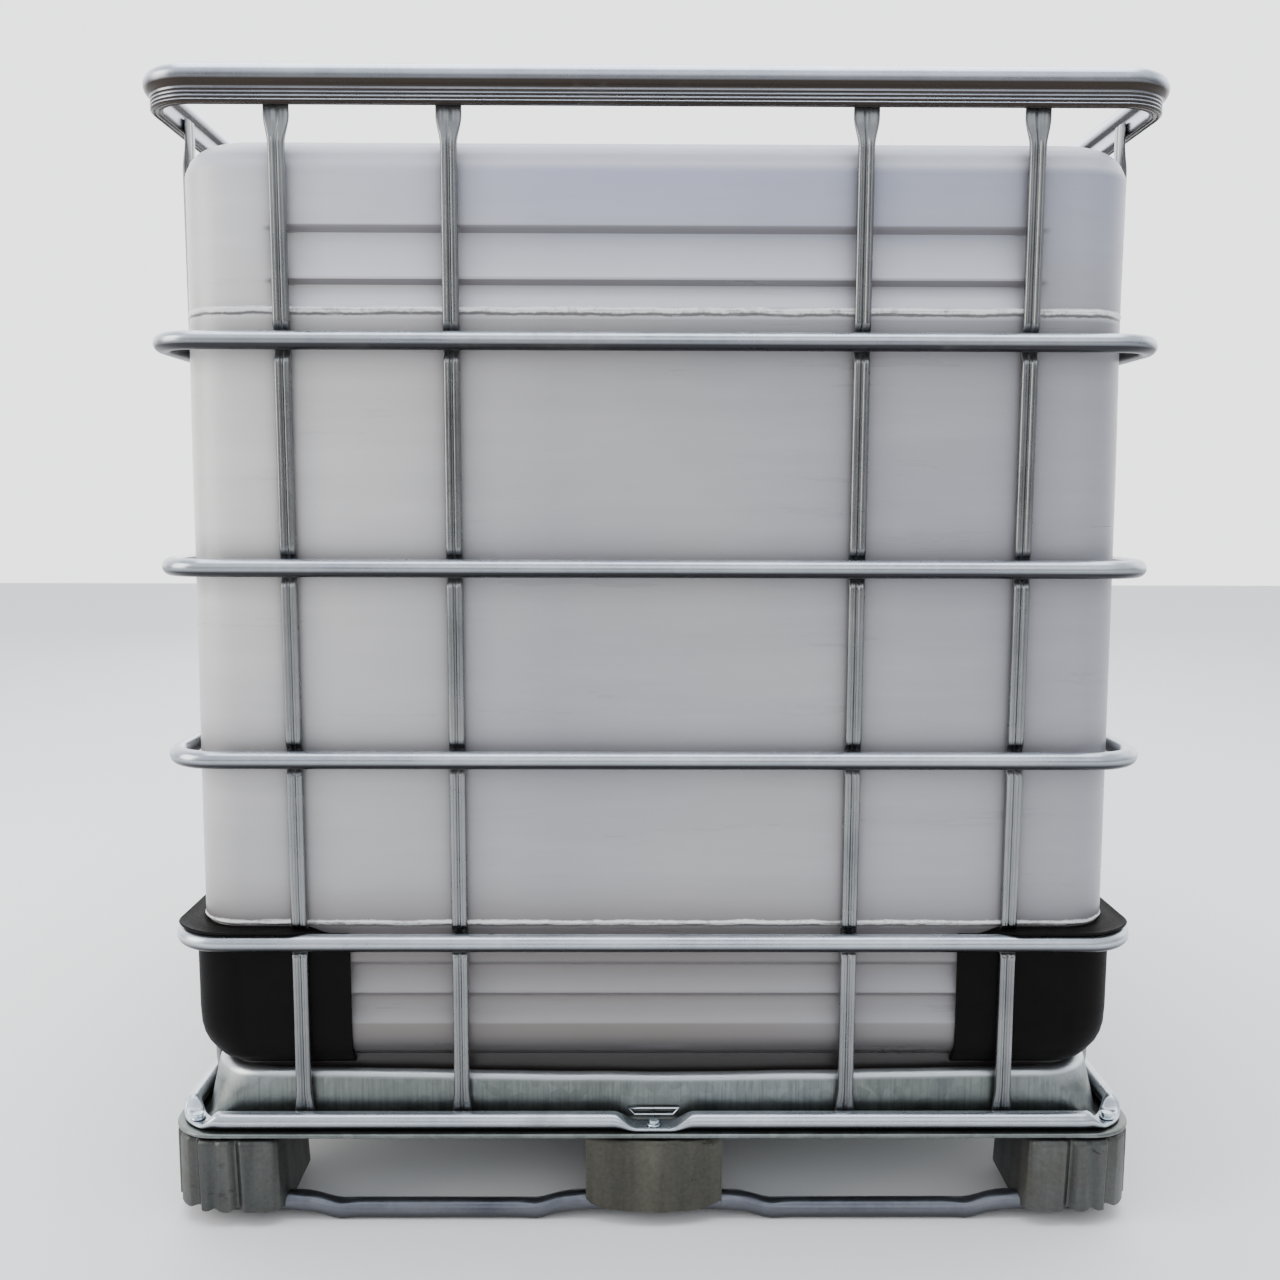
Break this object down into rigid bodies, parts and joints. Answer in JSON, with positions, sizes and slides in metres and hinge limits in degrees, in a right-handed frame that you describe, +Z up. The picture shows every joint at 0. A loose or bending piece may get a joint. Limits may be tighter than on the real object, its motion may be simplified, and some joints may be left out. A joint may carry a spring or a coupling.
{
  "type": "intermediate bulk container",
  "caption": "Caged bulk liquid container: ribbed plastic bottle in a welded tube cage on a steel pallet, with screw fill cap and lever discharge valve.",
  "frame": {"origin": "on the floor, under the middle of the pallet", "axes": "+X across the 1000 mm width, +Y along the 1200 mm depth towards the discharge valve, +Z up"},
  "size_m": [1, 1.2, 1.141],
  "materials": {
    "bottle_plastic": "satin, milky",
    "guard_plastic": "moulded black",
    "cap_plastic": "moulded black",
    "valve_plastic": "moulded dark grey",
    "handle_plastic": "moulded red",
    "seal_rubber": "matt",
    "zinc_hardware": "zinc plated",
    "cage_steel": "galvanised",
    "pan_steel": "galvanised sheet",
    "foot_steel": "dull galvanised sheet",
    "skid_steel": "galvanised tube",
    "label_steel": "blank sheet"
  },
  "bodies": {
    "container": {"base_pan": "pan_steel", "bottle": "bottle_plastic", "bottom_ring": "cage_steel", "cage_ring_2": "cage_steel", "cage_ring_3": "cage_steel", "cage_ring_4": "cage_steel", "cage_ring_5": "cage_steel", "cage_screws": "zinc_hardware", "centre_foot": "foot_steel", "corner_foot_front_left": "foot_steel", "corner_foot_front_right": "foot_steel", "corner_foot_rear_left": "foot_steel", "corner_foot_rear_right": "foot_steel", "corner_guard_front_left": "guard_plastic", "corner_guard_front_right": "guard_plastic", "corner_guard_rear_left": "guard_plastic", "corner_guard_rear_right": "guard_plastic", "crossbar_bolts": "zinc_hardware", "crossbar_front": "cage_steel", "crossbar_rear": "cage_steel", "deck_beams": "pan_steel", "front_upright_1": "cage_steel", "front_upright_2": "cage_steel", "front_upright_3": "cage_steel", "front_upright_4": "cage_steel", "hex_nuts": "zinc_hardware", "label_plate": "label_steel", "label_rivets": "zinc_hardware", "left_upright_1": "cage_steel", "left_upright_2": "cage_steel", "left_upright_3": "cage_steel", "left_upright_4": "cage_steel", "left_upright_5": "cage_steel", "middle_foot_front": "foot_steel", "middle_foot_left": "foot_steel", "middle_foot_rear": "foot_steel", "middle_foot_right": "foot_steel", "rear_upright_1": "cage_steel", "rear_upright_2": "cage_steel", "rear_upright_3": "cage_steel", "rear_upright_4": "cage_steel", "right_upright_1": "cage_steel", "right_upright_2": "cage_steel", "right_upright_3": "cage_steel", "right_upright_4": "cage_steel", "right_upright_5": "cage_steel", "skid_frame": "skid_steel", "skid_runner": "skid_steel", "top_rim": "cage_steel", "valve_body": "valve_plastic", "valve_seal": "seal_rubber", "valve_union_nut": "valve_plastic"},
    "fill_cap_lifter": {"fill_cap_seal": "seal_rubber"},
    "fill_cap_body": {"fill_cap": "cap_plastic"},
    "valve_lever": {"valve_disc": "valve_plastic", "valve_stem": "zinc_hardware", "valve_handle": "handle_plastic", "valve_handle_nut": "zinc_hardware"},
    "outlet_cap_slider": {"outlet_cap_seal": "seal_rubber"},
    "outlet_cap_body": {"outlet_cap": "handle_plastic"}
  },
  "joints": [
    {"name": "fill_cap_lift", "type": "slide", "parent": "container", "child": "fill_cap_lifter", "axis": [0, 0, 1], "range_m": [0, 0.018]},
    {"name": "fill_cap_turn", "type": "hinge", "parent": "fill_cap_lifter", "child": "fill_cap_body", "pos_m": [0, 0, 1.116], "axis": [0, 0, 1], "range_deg": [0, 1080]},
    {"name": "valve_turn", "type": "hinge", "parent": "container", "child": "valve_lever", "pos_m": [0, 0.5106, 0.1927], "axis": [0, 0, 1], "range_deg": [0, 90]},
    {"name": "outlet_cap_travel", "type": "slide", "parent": "container", "child": "outlet_cap_slider", "axis": [0, 1, 0], "range_m": [0, 0.015]},
    {"name": "outlet_cap_turn", "type": "hinge", "parent": "outlet_cap_slider", "child": "outlet_cap_body", "pos_m": [0, 0.5726, 0.1927], "axis": [0, 1, 0], "range_deg": [0, 900]}
  ],
  "couplings": [
    {"joint": "fill_cap_lift", "follows": "fill_cap_turn", "m_per_rad": 0.00095493},
    {"joint": "outlet_cap_travel", "follows": "outlet_cap_turn", "m_per_rad": 0.00095493}
  ]
}
